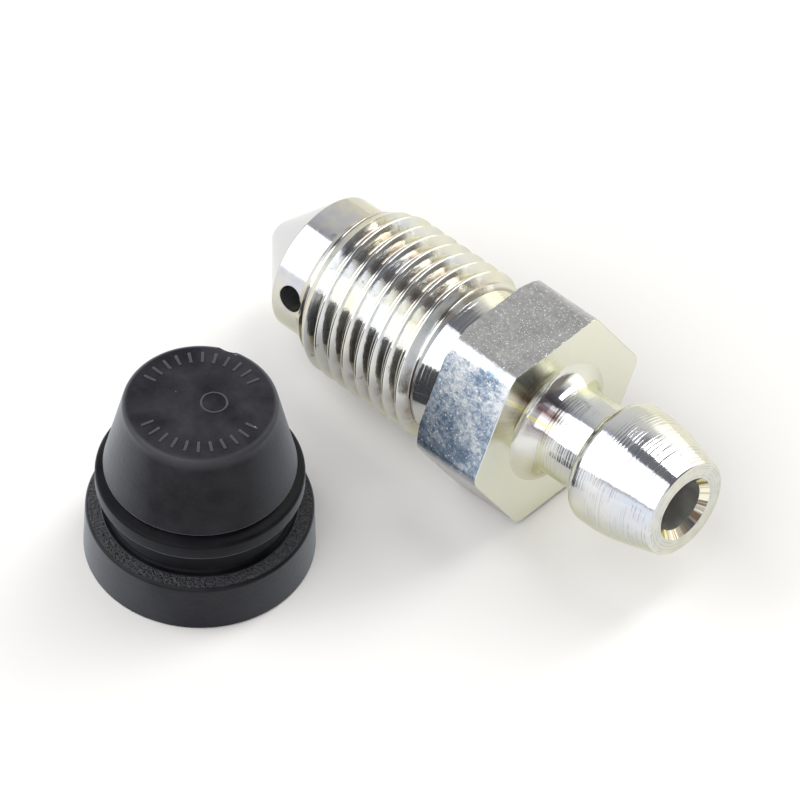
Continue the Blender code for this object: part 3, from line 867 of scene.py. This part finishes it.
def rolled_plate(place):
    """The same zinc on the rolled thread, dented, with painted shade low on its flanks and in its root.

    The painted shade lies in two stretches round the thread: one over its top, and one at its front.
    """
    material, shader, position = new_material("rolled_plate", place, Metallic=0.93)
    marks = use_group("Turning marks", turning_marks, position)
    plating = use_group("Plating tint", plating_tint, position, Patches_per_metre=420.0)
    beside, radius = split(position)[1], axis_distance(position)
    top = times(fade(beside, -2.2, -1.4), fade(beside, 2.8, 1.0))
    far_side, near_side = fade(beside, 0.4, 1.4), fade(beside, -3.4, -4.1)
    uneven = remap(noise(position, 900.0), 0.4, 0.6, 0.35, 0.75)
    # Painted shade: darker low on the flanks and in the root, over the thread's top and at its front
    flank_shade = times(fade(radius, 4.9, 4.5), uneven, maths("MAXIMUM", top, near_side))
    root_shade = times(maths("MAXIMUM", far_side, near_side), fade(radius, 4.50, 4.38, 0.0, 0.65))
    zinc = mix_colour(times(plating["Stain"], 0.6), plating["Color"], RED_STAIN)
    zinc = mix_colour(maths("MAXIMUM", flank_shade, root_shade), zinc, THREAD_SHADE)
    dents = noise(position, 2200.0, 3.0, 0.6)
    wire(shader, {
        "Base Color": film_and_floor_reflection(zinc),
        "Roughness": remap(marks["Streak"], 0, 1, 0.08, 0.15),
        "Normal": bump(maths("MULTIPLY_ADD", marks["Height"], 0.3, dents), 1.1e-5),
    })
    return material


def faced_plate(place):
    """The hexagon's faced side, with wide rings and painted dark reflections running from the corner between
    the shown flats.
    """
    material, shader, position = new_material("faced_plate", place, Metallic=1.0)
    marks = use_group("Turning marks", turning_marks, position, Fine_per_metre=9000.0)
    plating = use_group("Plating tint", plating_tint, position, Patches_per_metre=260.0)
    painted_reflections = use_group("Corner reflections", corner_reflections, position)
    zinc = mix_colour(0.5, plating["Color"], PALE_ZINC)
    # Painted dark reflections run over the face from the shown corner
    wire(shader, {
        "Base Color": film_and_floor_reflection(mix_colour(painted_reflections["Runs"], zinc, FACE_DARK_REFLECTION)),
        "Roughness": remap(marks["Streak"], 0, 1, 0.14, 0.24),
        "Normal": bump(marks["Height"], 4e-6),
    })
    return material


def drawn_flat(place):
    """The hexagon's flats: the drawn bar's duller skin under the zinc, bluer and coarser to one side, where
    painted light makes it lighter near its upper edge and darker towards the floor.
    """
    material, shader, position = new_material("drawn_flat", place, Metallic=1.0)
    skin = use_group("Drawn skin", drawn_skin, position)
    down, beside, _ = split(position)
    plain = ramp(skin["Blotch"], [(0.38, (0.40, 0.40, 0.40)), (0.62, (0.57, 0.57, 0.565))])
    # Painted light: the shown flat is lighter near its upper edge and darker towards the floor
    blotch_with_painted_light = maths("ADD", skin["Blotch"], fade(down, -5.2, -1.0, 0.05, -0.04))
    blue = ramp(blotch_with_painted_light, [(0.41, (0.19, 0.27, 0.38)), (0.5, (0.44, 0.52, 0.63)), (0.59, (0.82, 0.85, 0.88))])
    shown_side = times(fade(beside, -2.8, -3.4), fade(down, 0.2, -0.2))
    crystals = times(skin["Sparkle"], remap(shown_side, 0, 1, 0.8, 0.9))
    wire(shader, {
        "Base Color": mix_colour(crystals, mix_colour(shown_side, plain, blue), BRIGHT_CRYSTAL),
        "Roughness": remap(shown_side, 0, 1, 0.30, 0.36),
        "Normal": bump(skin["Height"], 1.6e-5),
    })
    return material


def drilled_wall(place):
    """The passage's wall: bare drilled steel with little plate in it."""
    material, shader, position = new_material("drilled_wall", place, Metallic=1.0)
    tone = noise(position, 700.0, 3.0, 0.6)
    wire(shader, {
        "Base Color": ramp(tone, [(0.35, (0.66, 0.66, 0.64)), (0.65, (0.80, 0.80, 0.78))]),
        "Roughness": remap(tone, 0.3, 0.7, 0.40, 0.50),
    })
    return material


def countersink_plate(place):
    """The bore's mouth: bright, with dark brown streaks round it."""
    material, shader, position = new_material("countersink_plate", place, Metallic=1.0, Roughness=0.12)
    streaks = noise(outward(position), 2.6, 3.0, 0.6)
    zinc = ramp(streaks, [(0.50, (0.88, 0.85, 0.72)), (0.60, (0.20, 0.14, 0.09))])
    marks = use_group("Turning marks", turning_marks, position)
    wire(shader, {"Base Color": film_and_floor_reflection(zinc), "Normal": bump(marks["Height"], 6e-6)})
    return material


def rubber(name, place, dark, pale, grain_per_metre, grain_height, roughness, shine, painted_slant_sheen):
    """Black moulded rubber with a grain and a faint bluish sheen, with a painted sheen at a slant, a painted
    highlight round the top's rim, and paler where it stands up, partly worn and partly a painted highlight.
    """
    material, shader, position = new_material(
        name, place, Metallic=0.0, Specular_IOR_Level=shine, Sheen_Weight=0.28, Sheen_Roughness=0.32,
        Sheen_Tint=(0.80, 0.90, 1.0, 1.0),
    )
    skin = use_group("Moulded rubber", moulded_rubber, position, Grain_per_metre=grain_per_metre)
    over_top = maths("SUBTRACT", split(position)[2], CAP_HIGH.z)
    slant = shader.id_data.nodes.new("ShaderNodeLayerWeight").outputs["Facing"]
    # Painted highlight: a paler band round the rounded rim of the top
    rim = times(fade(over_top, -0.7, -0.15), fade(over_top, 0.0, -0.05))
    tone = mix_colour(skin["Bloom"], (*dark, 1), (*pale, 1))
    # Raised marks paler: partly wear, partly a painted highlight
    tone = mix_colour(fade(over_top, 0.01, 0.05), tone, RAISED_WEAR_AND_HIGHLIGHT)
    tone = mix_colour(times(rim, 0.5), tone, RIM_HIGHLIGHT)
    # Painted sheen: paler where the rubber is seen at a slant
    tone = mix_colour(remap(slant, 0.3, 0.95, 0.0, painted_slant_sheen), tone, PAINTED_SLANT_SHEEN)
    wire(shader, {
        "Base Color": mix_colour(skin["Dust"], tone, DUST),
        "Roughness": remap(skin["Bloom"], 0, 1, roughness, roughness + 0.1),
        "Normal": bump(skin["Height"], grain_height),
    })
    return material


class OBJECT_OT_bleeder_screw(bpy.types.Operator):
    """Model the plated screw: turned body, hexagon, thread and drilled passages"""

    bl_idname = "object.bleeder_screw"
    bl_label = "Bleeder screw"

    def execute(self, context):
        size = context.scene.bleeder_screw_sizes
        at = screw_heights(size)
        screw = turned_body(size, at)
        combine(screw, hexagon(size, at), "UNION")
        combine(screw, thread(size, at), "UNION")
        combine(screw, bore(size, at), "DIFFERENCE")
        combine(screw, cross_hole(size, at), "DIFFERENCE")
        place = screw_place(size, at)
        apothem, bore_wall = size.hex_across_flats / 2, size.bore_mouth_diameter / 2
        thread_root = size.thread_diameter / 2 - size.thread_depth

        def material_of(centre, normal):
            radius = math.hypot(centre.x, centre.y)
            inward = -(normal.x * centre.x + normal.y * centre.y) / max(radius, MERGE)
            if abs(normal.z) < ACROSS and at["hex_back"] < centre.z < 0 and radius > apothem - 2 * SINK:
                return FLAT
            if abs(centre.z) < MERGE and normal.z > STRAIGHT:
                return FACED
            in_bore = radius < bore_wall and centre.z < size.nipple_length - SINK
            if in_bore and max(inward, normal.z) > LEANING:
                return COUNTERSUNK if inward < STRAIGHT and centre.z > 0 else DRILLED
            if at["thread_end"] + SINK < centre.z < at["relief_end"] and radius > thread_root - SINK:
                return ROLLED
            return TURNED

        finishes = (turned_plate, drawn_flat, faced_plate, drilled_wall, rolled_plate, countersink_plate)
        finish_piece(screw, place, [finish(place) for finish in finishes], material_of)
        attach(screw, "root")
        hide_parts("bleeder_screw")
        return {"FINISHED"}


def cap_body(size, screw):
    """The cap's turned shell: down its outer side from the top, and back up the hollow to the roof."""
    flange, height = (CAP_HIGH.x - CAP_LOW.x) / 2, CAP_HIGH.z
    top, lip, ring = size.top_diameter / 2, size.lip_diameter / 2, size.ring_diameter / 2
    groove, mouth, step = size.groove_diameter / 2, size.mouth_diameter / 2, size.flange_step_diameter / 2
    ring_foot = size.ring_height - size.ring_thickness
    chamber = screw.barrel_diameter / 2 + size.clearance
    crown = screw.nipple_end_diameter / 2 + size.clearance
    back_slope = math.tan(screw.barrel_back_angle)
    mouth_end = screw.neck_length - size.clearance + (mouth - screw.neck_diameter / 2) / back_slope
    hollow_end = height - size.roof_thickness
    corners = [
        (0, height, 0),
        (top, height, size.top_fillet),
        (lip, size.lip_height, size.lip_fillet),
        (lip - size.crevice, size.lip_height - size.crevice, 0),
        (ring, size.ring_height, size.ring_fillet),
        (ring, ring_foot, size.ring_fillet),
        (groove, ring_foot - (ring - groove) / 2, size.groove_fillet),
        (groove, size.flange_height + size.flange_step_height, size.groove_fillet / 2),
        (step, size.flange_height + size.flange_step_height, size.flange_step_height / 2),
        (step, size.flange_height, size.flange_step_height / 2),
        (flange - size.flange_draft, size.flange_height, size.flange_fillet),
        (flange, 0, size.foot_fillet),
        (mouth + size.mouth_chamfer, 0, 0),
        (mouth, size.mouth_chamfer, 0),
        (mouth, mouth_end, 0),
        (chamber, mouth_end + (chamber - mouth) / back_slope, 0),
        (chamber, screw.nipple_length - screw.taper_length, 0),
        (crown, hollow_end, 0),
        (0, hollow_end, 0),
    ]
    return spun("rubber_cap", corners, size.round_steps)


def around(radius, turn_round, height):
    """A place at a distance from the axis and at a height, turned round the axis."""
    return radius * math.cos(turn_round), radius * math.sin(turn_round), height


def rim_notch(size):
    """The cutter for the small nick in the rim of the top."""
    radius = (size.notch_width**2 / 4 + size.notch_depth**2) / (2 * size.notch_depth)
    rim = size.top_diameter / 2
    cutter = added(
        bpy.ops.mesh.primitive_cylinder_add,
        vertices=NOTCH_STEPS,
        radius=radius,
        depth=2 * size.top_fillet,
        location=around(rim, size.notch_turn, CAP_HIGH.z - size.notch_depth + radius),
        rotation=(0, QUARTER_TURN, size.notch_turn),
    )
    apply_place()
    return cutter


def gate_mark(size):
    """The low round ridge left by the mould's gate."""
    mark = added(
        bpy.ops.mesh.primitive_torus_add,
        major_segments=HOLE_STEPS,
        minor_segments=GATE_WIRE_STEPS,
        major_radius=size.gate_diameter / 2,
        minor_radius=size.gate_wire / 2,
        location=around(size.gate_offset, size.gate_turn, CAP_HIGH.z),
    )
    mark.scale.z = size.tick_height / size.gate_wire * 2
    apply_place()
    return mark


def tick(size, turn_round):
    """One plain raised tick, radial, sunk a little into the top."""
    mark = added(
        bpy.ops.mesh.primitive_cube_add,
        size=1,
        location=around(size.tick_circle / 2, turn_round, CAP_HIGH.z),
        rotation=(0, 0, turn_round),
        scale=(size.tick_length, size.tick_width, 2 * size.tick_height),
    )
    apply_place()
    edit(mark, "EDGE")
    bpy.ops.mesh.bevel(offset=size.tick_height / 2, segments=TICK_EDGE_STEPS)
    leave_edit()
    return mark


class OBJECT_OT_dust_cap(bpy.types.Operator):
    """Model the rubber dust cap: turned shell, nick, gate mark and plain ticks"""

    bl_idname = "object.dust_cap"
    bl_label = "Dust cap"

    def execute(self, context):
        size = context.scene.dust_cap_sizes
        cap = cap_body(size, context.scene.bleeder_screw_sizes)
        combine(cap, rim_notch(size), "DIFFERENCE")
        combine(cap, gate_mark(size), "UNION")
        for middle in (size.tick_turn, size.tick_turn + HALF_TURN):
            for index in range(size.tick_count):
                along = index / (size.tick_count - 1) - 0.5
                combine(cap, tick(size, middle + along * size.tick_arc), "UNION")
        place = Matrix.Translation((CAP_CENTRE.x, CAP_CENTRE.y, 0))
        flange_top, grain_start = size.flange_height + size.flange_step_height, size.flange_step_diameter / 2

        def material_of(centre, normal):
            radius = math.hypot(centre.x, centre.y)
            if centre.z > CAP_HIGH.z - SINK:
                return TOP
            if size.flange_height - SINK < centre.z < flange_top - SINK / 2 and radius > grain_start:
                return FLANGE
            if flange_top - SINK < centre.z < size.lip_height - size.lip_fillet:
                return RING
            return SIDE

        materials = [rubber(name, place, *finish) for name, finish in RUBBERS.items()]
        finish_piece(cap, place, materials, material_of)
        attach(cap, "root")
        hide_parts("dust_cap")
        return {"FINISHED"}


def set_up(obj, place, right, up, back):
    """Puts a lamp or a camera at its place, looking against its back direction."""
    obj.matrix_world = Matrix.Translation(place) @ Matrix((right, up, back)).transposed().to_4x4()
    bpy.context.scene.collection.objects.link(obj)


def make_camera(studio, target):
    """The camera at the photograph's angle, with the target at its place in the picture."""
    azimuth, elevation = studio.view_azimuth, studio.view_elevation
    back = Vector((
        math.sin(azimuth) * math.cos(elevation), -math.cos(azimuth) * math.cos(elevation), math.sin(elevation)
    ))
    level = Vector((math.cos(azimuth), math.sin(azimuth), 0.0))
    right = Matrix.Rotation(studio.view_roll, 3, back) @ level
    up = back.cross(right)
    pixel = studio.view_distance * SENSOR / studio.lens / PICTURE
    across = (studio.aim[0] - PICTURE / 2) * pixel
    down = (studio.aim[1] - PICTURE / 2) * pixel
    data = bpy.data.cameras.new("camera")
    data.lens, data.sensor_width = studio.lens, SENSOR
    data.clip_start, data.clip_end = CLIP
    camera = bpy.data.objects.new("camera", data)
    set_up(camera, target + studio.view_distance * back - across * right + down * up, right, up, back)
    bpy.context.scene.camera = camera


def make_light(name, strength, along, degrees, size_along, size_across, tint):
    """A soft rectangular light, placed by its angle round the screw's axis and aimed at the object."""
    rise = math.radians(degrees)
    direction = Vector((along, math.cos(rise), math.sin(rise))).normalized()
    sideways = direction.cross(Vector((1, 0, 0))).normalized()
    lengthways = sideways.cross(direction).normalized()
    data = bpy.data.lights.new(name, "AREA")
    data.shape = "RECTANGLE"
    data.size, data.size_y = size_along, size_across
    data.energy = strength * math.pi * size_along * size_across
    data.color = tint
    lamp = bpy.data.objects.new(name, data)
    lamp.visible_camera = False
    set_up(lamp, direction * LIGHT_DISTANCE, lengthways, direction.cross(lengthways), direction)


def make_world():
    """A light tent that is white to the camera. All else sees its walls, with a bright patch at the back,
    a dim gap overhead and a dark right corner.
    """
    world = bpy.data.worlds.new("studio")
    bpy.context.scene.world = world
    world.use_nodes = True
    nodes = world.node_tree.nodes
    along, back, up = split(nodes.new("ShaderNodeTexCoord").outputs["Generated"])
    turned = maths("DIVIDE", maths("ARCTAN2", up, back), HALF_TURN)

    def turn_fade(start, end):
        return remap(turned, start / HALF_TURN_DEGREES, end / HALF_TURN_DEGREES)

    walls = ramp(turned, [(degrees / HALF_TURN_DEGREES, tone) for degrees, tone in TENT_WALLS])
    for tone, patch in (
        (BRIGHT_BACK, times(turn_fade(40, 26), remap(along, -0.42, -0.30))),
        (DIM_OVERHEAD, times(turn_fade(44, 62), turn_fade(104, 99), remap(along, -0.44, -0.25))),
        (DARK_CORNER, times(turn_fade(74, 56), remap(along, 0.55, 0.70))),
    ):
        walls = mix_colour(patch, walls, tone)
    path = nodes.new("ShaderNodeLightPath").outputs
    wire(nodes["Background"], {"Color": mix_colour(path["Is Camera Ray"], walls, WHITE)})


def make_floor(studio):
    """A pale floor that keeps its shadows, lifted a little for the camera and for what reflects it."""
    floor = added(bpy.ops.mesh.primitive_plane_add, size=FLOOR_SIZE)
    floor.name = "floor"
    material = bpy.data.materials.new("floor")
    material.use_nodes = True
    nodes = material.node_tree.nodes
    path = nodes.new("ShaderNodeLightPath").outputs
    seen = maths("MAXIMUM", path["Is Camera Ray"], path["Is Glossy Ray"])
    seen = maths("MAXIMUM", seen, path["Is Transmission Ray"])
    wire(nodes["Principled BSDF"], {
        "Base Color": (*studio.floor_colour, 1),
        "Roughness": 0.9,
        "Specular IOR Level": 0.1,
        "Emission Color": WHITE,
        "Emission Strength": times(seen, studio.floor_lift),
    })
    floor.data.materials.append(material)


class OBJECT_OT_studio(bpy.types.Operator):
    """Set up the floor, the lights, the world and the camera"""

    bl_idname = "object.bleeder_screw_studio"
    bl_label = "Studio"

    def execute(self, context):
        studio, size = context.scene.bleeder_screw_studio, context.scene.bleeder_screw_sizes
        make_floor(studio)
        make_world()
        for name, *setting in LIGHTS:
            make_light(name, getattr(studio, name), *setting)
        make_camera(studio, screw_place(size, screw_heights(size)).to_translation())
        context.scene.view_settings.view_transform = "Standard"
        return {"FINISHED"}


class VIEW3D_PT_bleeder_screw(bpy.types.Panel):
    """The sidebar panel"""

    bl_label = "Bleeder screw"
    bl_idname = "VIEW3D_PT_bleeder_screw"
    bl_space_type = "VIEW_3D"
    bl_region_type = "UI"
    bl_category = "Bleeder screw"

    def draw(self, context):
        for operator, group in OPERATORS:
            box = self.layout.box()
            box.operator(operator.bl_idname)
            settings = getattr(context.scene, group)
            for key in settings.__annotations__:
                box.prop(settings, key)


OPERATORS = (
    (OBJECT_OT_bleeder_screw, "bleeder_screw_sizes"),
    (OBJECT_OT_dust_cap, "dust_cap_sizes"),
    (OBJECT_OT_studio, "bleeder_screw_studio"),
)
SETTINGS = {
    "bleeder_screw_sizes": BleederScrewSizes,
    "dust_cap_sizes": DustCapSizes,
    "bleeder_screw_studio": StudioSettings,
}
CLASSES = (*SETTINGS.values(), *(operator for operator, _ in OPERATORS), VIEW3D_PT_bleeder_screw)


def register():
    for item in CLASSES:
        bpy.utils.register_class(item)
    for key, group in SETTINGS.items():
        setattr(bpy.types.Scene, key, PointerProperty(type=group))


def unregister():
    for key in SETTINGS:
        delattr(bpy.types.Scene, key)
    for item in reversed(CLASSES):
        bpy.utils.unregister_class(item)


def main():
    register()
    bpy.ops.object.bleeder_screw()
    bpy.ops.object.dust_cap()
    bpy.ops.object.bleeder_screw_studio()


if __name__ == "__main__":
    main()
